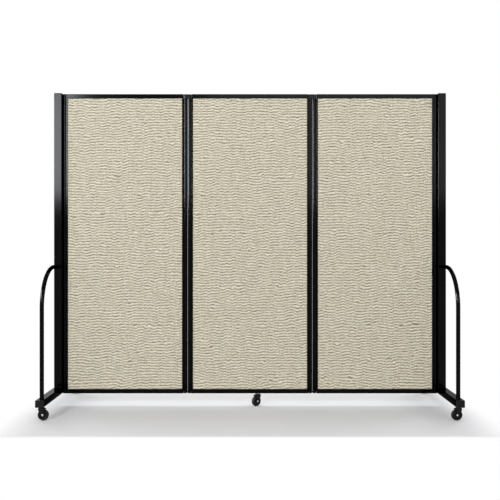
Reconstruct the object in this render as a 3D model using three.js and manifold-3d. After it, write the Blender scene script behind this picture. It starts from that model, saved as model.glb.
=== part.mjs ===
// Three-panel folding privacy screen on casters.
// Three fabric panels are hinged edge to edge, and a rigid end frame stands at each outer end.
// Sizes are in millimetres, +Z is up, X runs along the straight screen and -Y is its front.
// The origin is on the floor, under the middle of the middle panel.
import * as THREE from 'three';
import { mergeVertices } from 'three/addons/utils/BufferGeometryUtils.js';
import Module from 'manifold-3d';

const wasm = await Module();
wasm.setup();

// Overall heights above the floor
const underside = 62; // bottom of the panels and of the base tubes
const panelTop = 1522;
const postRise = 2; // how far the posts stand above the panels

// Panel frame
const visibleWidth = 557; // fabric seen between two stiles
const frameDepth = 19; // barrel diameter, and the depth of rails and stiles
const railHeight = 21.5;
const railWall = 2;
const railChannel = 6; // how deep the rail holds the board
const railCorner = 2.4;
const lipBevelHeight = 5; // the rail's face leans in beside the fabric
const lipBevelDepth = 1;
const flatWidth = 6.3; // stile's flat face beside the fabric
const flatChamfer = 0.8;
const creaseWidth = 0.7; // from the flat to the side of the barrel
const creaseDepth = 3.6; // how far the crease goes in from the flat's face
const stileChannel = 4.8; // how deep the stile holds the board
const barrelBore = 4.4; // radius

// Panel filling
const boardThickness = 12.4;
const clothThickness = 0.8;
const clothGap = 0.1;

// Double-barrel hinge
const barrelGap = 0.6; // between two neighbouring barrels
const rodRadius = 4;
const linkRadius = 9.2;
const linkHeight = railHeight;
const linkRoof = 6; // solid stock above the rods
const linkRounding = 3.6;
const strapHeight = 8;
const strapFloor = 2.2; // solid stock below the rods
const strapRounding = 2.6;
const strapWebDepth = 9;
const strapWebHeight = 4.6;
const rodFit = 0.1; // between a rod and the link that grips it

// Clearances
const seatGap = 0.3; // between pieces that are fastened to each other
const runningGap = 0.4; // between pieces that move past each other
const overrun = 1; // how far a cutter passes the face that it cuts

// End frame
const postWidth = 38.1;
const postDepth = 44.5;
const tubeWall = 2;
const tubeCorner = 3;
const postCapThickness = 4;
const capRounding = 1.6;
const postPlugDepth = 14;
const plugWall = 2.4;
const plugGap = 0.3;
const baseLength = 609.6; // over both end caps
const baseHeight = 33;
const baseCapThickness = 3;
const hoopRadius = 9.5;
const hoopWall = 1.5;
const hoopInset = 36.4; // from the end of the base to the foot's centre line
const hoopTop = 681; // height of the centre line of the level run
const hoopBend = 181; // centre line radius

// Casters
const wheelRadius = 25;
const wheelWidth = 17;
const treadWidth = 9; // level part of the tread
const treadShoulder = 3; // how much the radius drops at the wheel's side
const rimRadius = 18;
const dishRadius = 16;
const dishDepth = 2.4;
const hubRadius = 7.2;
const hubWidth = 17.6;
const axleRadius = 3;
const axleBore = 3.3;
const axleHeadRadius = 4;
const axleHeadEdge = 0.8;
const axleHeadCrown = 1.2;
const axleCrownShare = 0.75; // of the crown's rise, reached at half its radius
const casterTrail = 9.2; // from the stem's axis to the axle
const legGap = 0.6; // between the hub and a fork leg
const legThickness = 2;
const legEyeRadius = 7.5;
const legRearAngle = 80; // degrees, where the leg's trailing edge leaves the hood
const hoodGap = 1.2; // between the tread and the hood
const hoodLip = 1.1; // thickness of the hood's trailing tip
const hoodFrontAngle = 135; // degrees, from the trailing side up and over
const hoodRearAngle = 66;
const hoodHalfLength = 11.5; // along the trail, at the hood's top
const hoodShoulder = 4.6; // height of the upright part of the hood's leading face
const cupRadius = 12.2;
const cupHeight = 5.2;
const cupChamfer = 1.4;
const neckRadius = 8.6;
const stemRadius = 5.1;
const stemLength = 14.5;
const socketBore = 5.4;
const socketRadius = 7;
const socketDepth = 13;
const socketFlangeRadius = 9.2;
const socketFlange = 1.3;
const socketFit = 0.3; // between the socket and the hole that holds it
const flangeGap = 0.1; // between the socket's flange and the frame above it
const casterInset = 28.8; // from the end of the base to the stem
const middleCasterOffset = 37.4; // from the middle of the middle panel
const middleCasterYaw = 220; // degrees, where its wheel trails at rest

// Facets of the round forms
const cornerSegments = 2;
const barrelSegments = 9;
const linkSegments = 5;
const hoopSegments = 7;
const hoopBendSteps = 9;
const wheelSides = 20;
const smallSides = 12;
const cupSides = 14;
const legSegments = 4;
const roundingSteps = 2;

// Derived sizes
const barrelRadius = frameDepth / 2;
const barrelCentre = flatWidth + creaseWidth + barrelRadius; // from the fabric's edge
const stileWidth = barrelCentre + barrelRadius;
const panelPitch = visibleWidth + 2 * stileWidth + barrelGap;
const panelHeight = panelTop - underside;
const postTop = panelTop + postRise;
const pivotOffset = barrelRadius + barrelGap / 2; // from a hinge's middle to each rod
const channelHalf = boardThickness / 2 + clothGap + clothThickness + seatGap;
const chamberHeight = railHeight - railChannel - 2 * railWall;
const fillHalfWidth = visibleWidth / 2 + stileChannel - seatGap;
const fillBottom = underside + railHeight - railChannel + seatGap;
const fillTop = panelTop - railHeight + railChannel - seatGap;
const fillHeight = fillTop - fillBottom;
const postInner = panelPitch + visibleWidth / 2 + stileWidth + seatGap;
const postX = postInner + postWidth / 2;
const hoopReach = baseLength / 2 - hoopInset; // from the panels' plane to the foot's centre line
const baseTop = underside + baseHeight;
const casterReach = baseLength / 2 - casterInset;
const basePlugDepth = casterInset - baseCapThickness - socketRadius - socketFit - plugGap;
const forkTop = underside - socketFlange - runningGap;
const legInner = hubWidth / 2 + legGap;
const legOuter = legInner + legThickness;
const hoodInner = wheelRadius + hoodGap;
const hoodTop = forkTop - cupHeight;
const quarterTurn = Math.PI / 2;
const halfTurn = Math.PI;
const fullTurn = 2 * Math.PI;

// Finishes
function finish(color, roughness, metalness) {
  return new THREE.MeshStandardMaterial({ color, roughness, metalness });
}
const blackMetal = () => finish(0x141516, 0.32, 0.6);
const blackPlastic = () => finish(0x191a1b, 0.5, 0);
const creamFabric = () => finish(0xc9c1ae, 0.95, 0);
const paleBoard = () => finish(0xb49c78, 0.9, 0);
const brightSteel = () => finish(0xc4c6c8, 0.25, 1);
const darkTread = () => finish(0x1c1c1d, 0.7, 0);

// A closed three.js geometry as a solid that can be cut and joined
function solidOf(geometry) {
  const bare = geometry.index ? geometry.toNonIndexed() : geometry.clone();
  bare.deleteAttribute('normal');
  bare.deleteAttribute('uv');
  const merged = mergeVertices(bare);
  const vertProperties = new Float32Array(merged.attributes.position.array);
  const triVerts = new Uint32Array(merged.index.array);
  return new wasm.Manifold(new wasm.Mesh({ numProp: 3, vertProperties, triVerts }));
}

function geometryOf(solid) {
  const mesh = solid.getMesh();
  const geometry = new THREE.BufferGeometry();
  geometry.setAttribute('position', new THREE.BufferAttribute(new Float32Array(mesh.vertProperties), 3));
  geometry.setIndex(new THREE.BufferAttribute(new Uint32Array(mesh.triVerts), 1));
  geometry.computeVertexNormals();
  return geometry;
}

const joined = (solids) => solids.reduce((sum, solid) => sum.add(solid));
const cut = (solid, cutters) => cutters.reduce((rest, cutter) => rest.subtract(cutter), solid);

// Turns that lay a shape's own x, y and depth along the part's axes
const alongX = new THREE.Matrix4().makeBasis(
  new THREE.Vector3(0, 1, 0),
  new THREE.Vector3(0, 0, 1),
  new THREE.Vector3(1, 0, 0),
);
const alongMinusY = new THREE.Matrix4().makeBasis(
  new THREE.Vector3(1, 0, 0),
  new THREE.Vector3(0, 0, 1),
  new THREE.Vector3(0, -1, 0),
);

function extruded(shape, depth, curveSegments = cornerSegments) {
  return new THREE.ExtrudeGeometry(shape, { depth, curveSegments, bevelEnabled: false });
}

// An extrusion that is centred on its own depth
function centredExtrusion(shape, depth, curveSegments) {
  return extruded(shape, depth, curveSegments).translate(0, 0, -depth / 2);
}

function box(width, depth, height, x, y, z) {
  return solidOf(new THREE.BoxGeometry(width, depth, height).translate(x, y, z));
}

// A round bar or cutter that stands between two heights
function upright(radius, low, high, x = 0, y = 0, sides = smallSides) {
  const bar = new THREE.CylinderGeometry(radius, radius, high - low, sides);
  return solidOf(bar.rotateX(quarterTurn).translate(x, y, (low + high) / 2));
}

// A lathed form whose axis stands upright
function uprightLathe(points, sides) {
  return new THREE.LatheGeometry(points, sides).rotateX(quarterTurn);
}

function roundedRectangle(Outline, width, height, radius) {
  const outline = new Outline();
  const x = width / 2;
  const y = height / 2;
  outline.moveTo(radius - x, -y);
  outline.lineTo(x - radius, -y);
  outline.absarc(x - radius, radius - y, radius, -quarterTurn, 0, false);
  outline.lineTo(x, y - radius);
  outline.absarc(x - radius, y - radius, radius, 0, quarterTurn, false);
  outline.lineTo(radius - x, y);
  outline.absarc(radius - x, y - radius, radius, quarterTurn, halfTurn, false);
  outline.lineTo(-x, radius - y);
  outline.absarc(radius - x, radius - y, radius, halfTurn, halfTurn + quarterTurn, false);
  return outline;
}

function tubeSection(width, height) {
  const shape = roundedRectangle(THREE.Shape, width, height, tubeCorner);
  const inside = tubeCorner - tubeWall;
  shape.holes.push(roundedRectangle(THREE.Path, width - 2 * tubeWall, height - 2 * tubeWall, inside));
  return shape;
}

function piece(name, geometry, material, x = 0, y = 0, z = 0) {
  const mesh = new THREE.Mesh(geometry, material);
  mesh.name = name;
  mesh.position.set(x, y, z);
  return mesh;
}

// Rails: a channel that holds the board over a closed chamber, drawn with the channel upwards
function railSection() {
  const half = frameDepth / 2;
  const channelFloor = railHeight - railChannel;
  const bevelStart = railHeight - lipBevelHeight;
  const lip = half - lipBevelDepth;
  const shape = new THREE.Shape();
  shape.moveTo(railCorner - half, 0);
  shape.lineTo(half - railCorner, 0);
  shape.absarc(half - railCorner, railCorner, railCorner, -quarterTurn, 0, false);
  shape.lineTo(half, bevelStart);
  shape.lineTo(lip, railHeight);
  shape.lineTo(channelHalf, railHeight);
  shape.lineTo(channelHalf, channelFloor);
  shape.lineTo(-channelHalf, channelFloor);
  shape.lineTo(-channelHalf, railHeight);
  shape.lineTo(-lip, railHeight);
  shape.lineTo(-half, bevelStart);
  shape.lineTo(-half, railCorner);
  shape.absarc(railCorner - half, railCorner, railCorner, halfTurn, halfTurn + quarterTurn, false);
  const chamber = new THREE.Path();
  const chamberHalf = half - railWall;
  chamber.moveTo(-chamberHalf, railWall);
  chamber.lineTo(-chamberHalf, railWall + chamberHeight);
  chamber.lineTo(chamberHalf, railWall + chamberHeight);
  chamber.lineTo(chamberHalf, railWall);
  chamber.closePath();
  shape.holes.push(chamber);
  return shape;
}

function railGeometry(socketX) {
  const length = visibleWidth - 2 * seatGap;
  const rail = centredExtrusion(railSection(), length).applyMatrix4(alongX);
  if (socketX === undefined) {
    return rail;
  }
  const hole = upright(socketRadius + socketFit, -overrun, railWall + overrun, socketX);
  return geometryOf(cut(solidOf(rail), [hole]));
}

// Stiles: board channel, flat, crease and barrel, drawn from the fabric's edge outwards
function stileSection() {
  const half = frameDepth / 2;
  const creaseY = half - creaseDepth;
  const creaseX = barrelCentre - Math.sqrt(barrelRadius ** 2 - creaseY ** 2);
  const creaseAngle = Math.atan2(creaseY, creaseX - barrelCentre);
  const shape = new THREE.Shape();
  shape.moveTo(0, channelHalf);
  shape.lineTo(stileChannel, channelHalf);
  shape.lineTo(stileChannel, -channelHalf);
  shape.lineTo(0, -channelHalf);
  shape.lineTo(0, -half);
  shape.lineTo(flatWidth - flatChamfer, -half);
  shape.lineTo(flatWidth, flatChamfer - half);
  shape.lineTo(flatWidth + creaseWidth, -creaseY);
  shape.absarc(barrelCentre, 0, barrelRadius, -creaseAngle, creaseAngle, false);
  shape.lineTo(flatWidth + creaseWidth, creaseY);
  shape.lineTo(flatWidth, half - flatChamfer);
  shape.lineTo(flatWidth - flatChamfer, half);
  shape.lineTo(0, half);
  shape.closePath();
  const bore = new THREE.Path();
  bore.absarc(barrelCentre, 0, barrelBore, 0, fullTurn, true);
  shape.holes.push(bore);
  return shape;
}

// The barrel of a hinged stile stops short of its ends, where the links sit
function stileGeometry(hinged) {
  const stile = extruded(stileSection(), panelHeight, barrelSegments);
  if (!hinged) {
    return stile;
  }
  const start = flatWidth + creaseWidth / 2;
  const width = stileWidth - start + overrun;
  const across = frameDepth + 2 * overrun;
  const roof = linkHeight + runningGap + overrun;
  const floor = strapHeight + runningGap + overrun;
  const x = start + width / 2;
  const top = box(width, across, roof, x, 0, panelHeight + overrun - roof / 2);
  const bottom = box(width, across, floor, x, 0, floor / 2 - overrun);
  return geometryOf(cut(solidOf(stile), [top, bottom]));
}

function rectangle(Outline, halfWidth, halfDepth) {
  const outline = new Outline();
  outline.moveTo(-halfWidth, -halfDepth);
  outline.lineTo(halfWidth, -halfDepth);
  outline.lineTo(halfWidth, halfDepth);
  outline.lineTo(-halfWidth, halfDepth);
  outline.closePath();
  return outline;
}

function fabricGeometry() {
  const halfDepth = boardThickness / 2 + clothGap + clothThickness;
  const shape = rectangle(THREE.Shape, fillHalfWidth, halfDepth);
  shape.holes.push(rectangle(THREE.Path, fillHalfWidth - clothThickness, halfDepth - clothThickness));
  return extruded(shape, fillHeight);
}

function boardGeometry() {
  const inset = clothThickness + clothGap;
  return extruded(rectangle(THREE.Shape, fillHalfWidth - inset, boardThickness / 2), fillHeight);
}

function panel(name, x, hingedLeft, hingedRight, socketX) {
  const group = new THREE.Group();
  group.position.x = x;
  const edge = visibleWidth / 2;
  const topRail = piece(`${name}_top_rail`, railGeometry(), blackMetal(), 0, 0, panelTop);
  topRail.rotation.x = halfTurn;
  const leftStile = piece(`${name}_left_stile`, stileGeometry(hingedLeft), blackMetal(), -edge, 0, underside);
  leftStile.rotation.z = halfTurn;
  group.add(
    topRail,
    piece(`${name}_bottom_rail`, railGeometry(socketX), blackMetal(), 0, 0, underside),
    leftStile,
    piece(`${name}_right_stile`, stileGeometry(hingedRight), blackMetal(), edge, 0, underside),
    piece(`${name}_core_board`, boardGeometry(), paleBoard(), 0, 0, fillBottom),
    piece(`${name}_fabric`, fabricGeometry(), creamFabric(), 0, 0, fillBottom),
  );
  return group;
}

// A plate whose upper edge is rounded over, with its flat underside at zero
function crownedPlate(shape, thickness, rounding, curveSegments) {
  const plate = new THREE.ExtrudeGeometry(shape, {
    depth: thickness - rounding,
    curveSegments,
    bevelEnabled: true,
    bevelSize: rounding,
    bevelThickness: rounding,
    bevelSegments: roundingSteps,
  });
  plate.computeBoundingBox();
  const size = plate.boundingBox.getSize(new THREE.Vector3());
  const under = rounding + overrun;
  const trimmer = box(size.x + under, size.y + under, under, 0, 0, -under / 2);
  return cut(solidOf(plate), [trimmer]);
}

function slotShape(halfSpan, radius) {
  const shape = new THREE.Shape();
  shape.moveTo(-halfSpan, -radius);
  shape.lineTo(halfSpan, -radius);
  shape.absarc(halfSpan, 0, radius, -quarterTurn, quarterTurn, false);
  shape.lineTo(-halfSpan, radius);
  shape.absarc(-halfSpan, 0, radius, quarterTurn, halfTurn + quarterTurn, false);
  return shape;
}

// Moulded block over two neighbouring barrels; both rods end in its blind bores
function topLinkGeometry() {
  const face = slotShape(pivotOffset, linkRadius - linkRounding);
  const block = crownedPlate(face, linkHeight, linkRounding, linkSegments);
  const bores = [-pivotOffset, pivotOffset].map(
    (x) => upright(rodRadius + rodFit, -overrun, linkHeight - linkRoof, x),
  );
  return geometryOf(cut(block, bores));
}

// Figure-of-eight strap under two neighbouring barrels; its waist stands above the rounded ends
function bottomLinkGeometry() {
  const profile = [new THREE.Vector2(0, 0)];
  for (let step = 0; step <= roundingSteps; step += 1) {
    const angle = quarterTurn * (step / roundingSteps);
    const inset = strapRounding * (1 - Math.sin(angle));
    const rise = strapRounding * (1 - Math.cos(angle));
    profile.push(new THREE.Vector2(linkRadius - inset, rise));
  }
  profile.push(new THREE.Vector2(linkRadius, strapHeight), new THREE.Vector2(0, strapHeight));
  const discs = [-pivotOffset, pivotOffset].map(
    (x) => solidOf(uprightLathe(profile, cupSides).translate(x, 0, 0)),
  );
  const web = box(2 * pivotOffset, strapWebDepth, strapWebHeight, 0, 0, strapHeight - strapWebHeight / 2);
  const bores = [-pivotOffset, pivotOffset].map(
    (x) => upright(rodRadius + rodFit, strapFloor, strapHeight + overrun, x),
  );
  return geometryOf(cut(joined([...discs, web]), bores));
}

function hinge(name, x, innerSide) {
  const group = new THREE.Group();
  group.position.x = x;
  const rodLow = underside + strapFloor + seatGap;
  const rodHigh = panelTop - linkRoof - seatGap;
  const rod = geometryOf(upright(rodRadius, rodLow, rodHigh));
  group.add(
    piece(`${name}_top_link`, topLinkGeometry(), blackPlastic(), 0, 0, panelTop - linkHeight),
    piece(`${name}_bottom_link`, bottomLinkGeometry(), blackPlastic(), 0, 0, underside),
    piece(`${name}_inner_rod`, rod, brightSteel(), innerSide * pivotOffset),
    piece(`${name}_outer_rod`, rod.clone(), brightSteel(), -innerSide * pivotOffset),
  );
  return group;
}

// A tube's end cap: a crowned plate over a hollow plug, with the plug pointing down
function tubeCap(width, depth, thickness, plugDepth) {
  const inset = 2 * capRounding;
  const face = roundedRectangle(THREE.Shape, width - inset, depth - inset, tubeCorner - capRounding);
  const plate = crownedPlate(face, thickness, capRounding, cornerSegments);
  const plugInset = 2 * (tubeWall + plugGap);
  const plug = rectangle(THREE.Shape, (width - plugInset) / 2, (depth - plugInset) / 2);
  const hollowInset = plugInset + 2 * plugWall;
  plug.holes.push(rectangle(THREE.Path, (width - hollowInset) / 2, (depth - hollowInset) / 2));
  const skirt = extruded(plug, plugDepth + capRounding).translate(0, 0, -plugDepth);
  return geometryOf(plate.add(solidOf(skirt)));
}

// The hoop's centre line: up from the base, round a quarter turn and level into the post
class HoopLine extends THREE.Curve {
  constructor(side) {
    super();
    const centre = { reach: hoopReach - hoopBend, height: hoopTop - hoopBend };
    const foot = { reach: hoopReach, height: baseTop + seatGap, angle: 0 };
    const end = { reach: postDepth / 2 + seatGap, height: hoopTop, angle: quarterTurn };
    const bend = Array.from({ length: hoopBendSteps + 1 }, (_, step) => {
      const angle = quarterTurn * (step / hoopBendSteps);
      const reach = centre.reach + hoopBend * Math.cos(angle);
      return { reach, height: centre.height + hoopBend * Math.sin(angle), angle };
    });
    this.side = side;
    this.stations = [foot, ...bend, end];
  }

  stationAt(share) {
    return this.stations[Math.round(share * (this.stations.length - 1))];
  }

  getPoint(share) {
    const { reach, height } = this.stationAt(share);
    return new THREE.Vector3(0, this.side * reach, height);
  }

  getTangent(share) {
    const { angle } = this.stationAt(share);
    return new THREE.Vector3(0, -this.side * Math.sin(angle), Math.cos(angle));
  }

  getPointAt(share) {
    return this.getPoint(share);
  }

  getTangentAt(share) {
    return this.getTangent(share);
  }
}

function hoopGeometry(side) {
  const section = new THREE.Shape();
  section.absarc(0, 0, hoopRadius, 0, fullTurn, false);
  const inside = new THREE.Path();
  inside.absarc(0, 0, hoopRadius - hoopWall, 0, fullTurn, true);
  section.holes.push(inside);
  const extrudePath = new HoopLine(side);
  const steps = extrudePath.stations.length - 1;
  return new THREE.ExtrudeGeometry(section, { extrudePath, steps, curveSegments: hoopSegments });
}

function baseTubeGeometry() {
  const length = baseLength - 2 * baseCapThickness - 2 * seatGap;
  const tube = centredExtrusion(tubeSection(postWidth, baseHeight), length).applyMatrix4(alongMinusY);
  const hole = socketRadius + socketFit;
  const low = -baseHeight / 2 - overrun;
  const high = tubeWall + overrun - baseHeight / 2;
  const holes = [-casterReach, casterReach].map((y) => upright(hole, low, high, 0, y));
  return geometryOf(cut(solidOf(tube), holes));
}

function endFrame(name, x) {
  const group = new THREE.Group();
  group.position.x = x;
  const postBottom = baseTop + seatGap;
  const postHeight = postTop - postCapThickness - seatGap - postBottom;
  const post = extruded(tubeSection(postWidth, postDepth), postHeight);
  const postCap = tubeCap(postWidth, postDepth, postCapThickness, postPlugDepth);
  const baseCap = () => tubeCap(postWidth, baseHeight, baseCapThickness, basePlugDepth);
  const baseMiddle = underside + baseHeight / 2;
  const capSeat = baseLength / 2 - baseCapThickness;
  const frontCap = piece(`${name}_base_front_cap`, baseCap(), blackPlastic(), 0, -capSeat, baseMiddle);
  frontCap.rotation.x = quarterTurn;
  const rearCap = piece(`${name}_base_rear_cap`, baseCap(), blackPlastic(), 0, capSeat, baseMiddle);
  rearCap.rotation.x = -quarterTurn;
  group.add(
    piece(`${name}_post`, post, blackMetal(), 0, 0, postBottom),
    piece(`${name}_post_cap`, postCap, blackPlastic(), 0, 0, postTop - postCapThickness),
    piece(`${name}_base_tube`, baseTubeGeometry(), blackMetal(), 0, 0, baseMiddle),
    frontCap,
    rearCap,
    piece(`${name}_front_hoop`, hoopGeometry(-1), blackMetal()),
    piece(`${name}_rear_hoop`, hoopGeometry(1), blackMetal()),
  );
  return group;
}

// Caster, drawn round its stem with the wheel trailing towards +X
function wheelGeometry() {
  const corner = 1 / Math.cos(halfTurn / wheelSides); // puts a flat of the tread on the floor
  const tread = wheelRadius * corner;
  const half = wheelWidth / 2;
  const web = half - dishDepth;
  const hub = hubWidth / 2;
  const side = [
    [tread, treadWidth / 2],
    [tread - treadShoulder, half],
    [rimRadius, half],
    [dishRadius, web],
    [hubRadius, web],
    [hubRadius, hub],
    [axleBore, hub],
  ];
  const outline = [
    ...side.map(([radius, y]) => [radius, -y]).reverse(),
    ...side,
    [axleBore, -hub],
  ].map(([radius, y]) => new THREE.Vector2(radius, y));
  return new THREE.LatheGeometry(outline, wheelSides, halfTurn / wheelSides);
}

function axleGeometry() {
  const seat = legOuter + seatGap;
  const side = [
    [axleRadius, seat],
    [axleHeadRadius, seat],
    [axleHeadRadius, seat + axleHeadEdge],
    [axleHeadRadius / 2, seat + axleHeadEdge + axleHeadCrown * axleCrownShare],
    [0, seat + axleHeadEdge + axleHeadCrown],
  ];
  const outline = [
    ...side.map(([radius, y]) => [radius, -y]).reverse(),
    ...side,
  ].map(([radius, y]) => new THREE.Vector2(radius, y));
  return new THREE.LatheGeometry(outline, smallSides);
}

// A point round the wheel, by its distance from the axle and its angle above the trailing side
function hoodPoint(radius, degrees) {
  const angle = THREE.MathUtils.degToRad(degrees);
  return new THREE.Vector2(casterTrail + radius * Math.cos(angle), wheelRadius + radius * Math.sin(angle));
}

// Where a straight edge from a point meets the eye round the axle
function eyeTangent(point, side) {
  const x = point.x - casterTrail;
  const y = point.y - wheelRadius;
  return Math.atan2(y, x) + side * Math.acos(legEyeRadius / Math.hypot(x, y));
}

// The edges that a leg and the hood share: over the top and down the leading face
function startFork(shape) {
  shape.moveTo(hoodHalfLength, hoodTop);
  shape.lineTo(-hoodHalfLength, hoodTop);
  shape.lineTo(-hoodHalfLength, hoodTop - hoodShoulder);
}

// One side of the fork: an eye round the axle that widens up to the hood
function legShape() {
  const front = hoodPoint(hoodInner, hoodFrontAngle);
  const rear = hoodPoint(hoodInner, legRearAngle);
  const eyeStart = eyeTangent(front, 1);
  const eyeEnd = eyeTangent(rear, -1) + fullTurn;
  const shape = new THREE.Shape();
  startFork(shape);
  shape.lineTo(front.x, front.y);
  shape.absarc(casterTrail, wheelRadius, legEyeRadius, eyeStart, eyeEnd, false);
  shape.lineTo(rear.x, rear.y);
  shape.closePath();
  return shape;
}

// The solid stock over the wheel, whose trailing side slopes down to a thin tip
function hoodShape() {
  const front = THREE.MathUtils.degToRad(hoodFrontAngle);
  const rear = THREE.MathUtils.degToRad(hoodRearAngle);
  const tip = hoodPoint(hoodInner + hoodLip, hoodRearAngle);
  const shape = new THREE.Shape();
  startFork(shape);
  shape.absarc(casterTrail, wheelRadius, hoodInner, front, rear, true);
  shape.lineTo(tip.x, tip.y);
  shape.closePath();
  return shape;
}

function forkGeometry() {
  const leg = () => centredExtrusion(legShape(), legThickness, legSegments).applyMatrix4(alongMinusY);
  const legY = legInner + legThickness / 2;
  const legs = [-legY, legY].map((y) => solidOf(leg().translate(0, y, 0)));
  const hood = solidOf(centredExtrusion(hoodShape(), 2 * legOuter, legSegments).applyMatrix4(alongMinusY));
  const cupFoot = hoodTop - cupChamfer;
  const cupTop = forkTop - cupChamfer;
  const cup = uprightLathe([
    new THREE.Vector2(0, cupFoot),
    new THREE.Vector2(cupRadius - cupChamfer, cupFoot),
    new THREE.Vector2(cupRadius, hoodTop),
    new THREE.Vector2(cupRadius, cupTop),
    new THREE.Vector2(neckRadius, cupTop),
    new THREE.Vector2(neckRadius, forkTop),
    new THREE.Vector2(stemRadius, forkTop),
    new THREE.Vector2(stemRadius, forkTop + stemLength),
    new THREE.Vector2(0, forkTop + stemLength),
  ], cupSides);
  const eye = new THREE.CylinderGeometry(axleBore, axleBore, 2 * legOuter + 2 * overrun, smallSides);
  const bore = solidOf(eye.translate(casterTrail, 0, wheelRadius));
  return geometryOf(cut(joined([...legs, hood, solidOf(cup)]), [bore]));
}

function socketGeometry() {
  const low = underside - socketFlange;
  const seat = underside - flangeGap;
  const high = underside + socketDepth;
  return uprightLathe([
    new THREE.Vector2(socketBore, low),
    new THREE.Vector2(socketFlangeRadius, low),
    new THREE.Vector2(socketFlangeRadius, seat),
    new THREE.Vector2(socketRadius, seat),
    new THREE.Vector2(socketRadius, high),
    new THREE.Vector2(socketBore, high),
    new THREE.Vector2(socketBore, low),
  ], smallSides);
}

function caster(name, x, y, yawDegrees) {
  const group = new THREE.Group();
  group.position.set(x, y, 0);
  group.rotation.z = THREE.MathUtils.degToRad(yawDegrees);
  group.add(
    piece(`${name}_socket`, socketGeometry(), brightSteel()),
    piece(`${name}_fork`, forkGeometry(), blackPlastic()),
    piece(`${name}_wheel`, wheelGeometry(), darkTread(), casterTrail, 0, wheelRadius),
    piece(`${name}_axle`, axleGeometry(), brightSteel(), casterTrail, 0, wheelRadius),
  );
  return group;
}

// The whole screen, standing straight
const screen = new THREE.Group();
const hingeX = panelPitch / 2;
const inboardFromLeft = 0; // degrees: a wheel that trails towards +X
const inboardFromRight = 180;
screen.add(
  panel('middle', 0, true, true, middleCasterOffset),
  panel('left', -panelPitch, false, true),
  panel('right', panelPitch, true, false),
  hinge('left_hinge', -hingeX, 1),
  hinge('right_hinge', hingeX, -1),
  endFrame('left', -postX),
  endFrame('right', postX),
  caster('left_front_caster', -postX, -casterReach, inboardFromLeft),
  caster('left_rear_caster', -postX, casterReach, inboardFromLeft),
  caster('right_front_caster', postX, -casterReach, inboardFromRight),
  caster('right_rear_caster', postX, casterReach, inboardFromRight),
  caster('middle_caster', middleCasterOffset, 0, middleCasterYaw),
);

export default screen;
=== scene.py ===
# Folding privacy screen on casters, dressed round its CAD frame.
# Sizes are in metres, +Z is up, X runs along the straight screen and -Y is its front.
import math

import bmesh
import bpy
import numpy as np
from mathutils import Matrix, Vector
from mathutils.geometry import tessellate_polygon


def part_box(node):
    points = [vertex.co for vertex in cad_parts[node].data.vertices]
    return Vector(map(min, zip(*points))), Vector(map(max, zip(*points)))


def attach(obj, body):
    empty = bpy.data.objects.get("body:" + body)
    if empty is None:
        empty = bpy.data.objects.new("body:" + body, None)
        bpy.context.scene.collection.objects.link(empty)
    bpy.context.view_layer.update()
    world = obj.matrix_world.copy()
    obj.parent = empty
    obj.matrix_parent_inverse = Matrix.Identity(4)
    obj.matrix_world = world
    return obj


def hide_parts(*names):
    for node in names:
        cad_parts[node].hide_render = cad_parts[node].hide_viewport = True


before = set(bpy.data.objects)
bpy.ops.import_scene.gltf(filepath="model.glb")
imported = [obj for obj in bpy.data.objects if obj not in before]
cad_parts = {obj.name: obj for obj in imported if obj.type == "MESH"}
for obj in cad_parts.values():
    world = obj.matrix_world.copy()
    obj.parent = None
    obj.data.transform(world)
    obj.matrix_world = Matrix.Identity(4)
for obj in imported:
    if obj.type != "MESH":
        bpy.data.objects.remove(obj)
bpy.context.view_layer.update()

# Sections that the boxes of the CAD nodes don't give
FLAT_WIDTH = 0.0063
CREASE_WIDTH = 0.0007
CREASE_DEPTH = 0.0036
FLAT_CHAMFER = 0.0008
STILE_CHANNEL = 0.0048
BARREL_BORE = 0.0044
CHANNEL_HALF = 0.0074
RAIL_WALL = 0.002
RAIL_CHANNEL = 0.006
RAIL_CORNER = 0.0024
LIP_BEVEL_HEIGHT = 0.005
LIP_BEVEL_DEPTH = 0.001
RUNNING_GAP = 0.0004
TUBE_WALL = 0.002
TUBE_CORNER = 0.003
CAP_ROUNDING = 0.0016
# Share of the rounding's height that a cap's rounded edge takes; its crown takes the rest
CAP_EDGE_SHARE = 0.94
POST_CAP_THICKNESS = 0.004
BASE_CAP_THICKNESS = 0.003
CAP_PLUG_DEPTH = 0.006
CAP_PLUG_INSET = 0.0023
HOOP_RADIUS = 0.0095
HOOP_BEND = 0.181
LINK_RADIUS = 0.0092
LINK_ROUNDING = 0.0036
LINK_ROOF = 0.006
STRAP_FLOOR = 0.0022
STRAP_ROUNDING = 0.0026
# Radius of the flat that closes a cup's underside on its axis
STRAP_CENTRE = 0.0006
STRAP_WEB_DEPTH = 0.009
STRAP_WEB_HEIGHT = 0.0046
# Keeps the web's top face out of the plane of the cups' tops
STRAP_WEB_DROP = 0.00002
ROD_BORE = 0.0041
BOARD_FACE_GAP = 0.0001
SOCKET_HOLE = 0.0073

# Welds, plugs and their like
WELD_RADIUS = 0.0016
WELD_RIPPLE = 0.13
RIPPLE_STEPS = 5
WELD_STEP = 0.0012
RING_WELD_STEPS = 60
BEAD_SIDES = 10
# A plug's shaft and tip as shares of its shank, how far down the tip starts, and how much of the
# dome's rise its edge has
PLUG_SHAFT_SHARE = 0.98
PLUG_TIP_SHARE = 0.9
PLUG_TIP_START = 0.8
PLUG_EDGE_SHARE = 0.25
BORE_PLUG_RADIUS = 0.0056
BORE_PLUG_RISE = 0.0012
BORE_PLUG_DEPTH = 0.006
SIDE_PLUG_RADIUS = 0.0065
SIDE_PLUG_SHANK_SHARE = 0.8
SIDE_PLUG_RISE = 0.0011
# How far up the post each side plug sits
SIDE_PLUG_PLACES = {"lower": 0.12, "middle": 0.5, "upper": 0.88}

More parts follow.
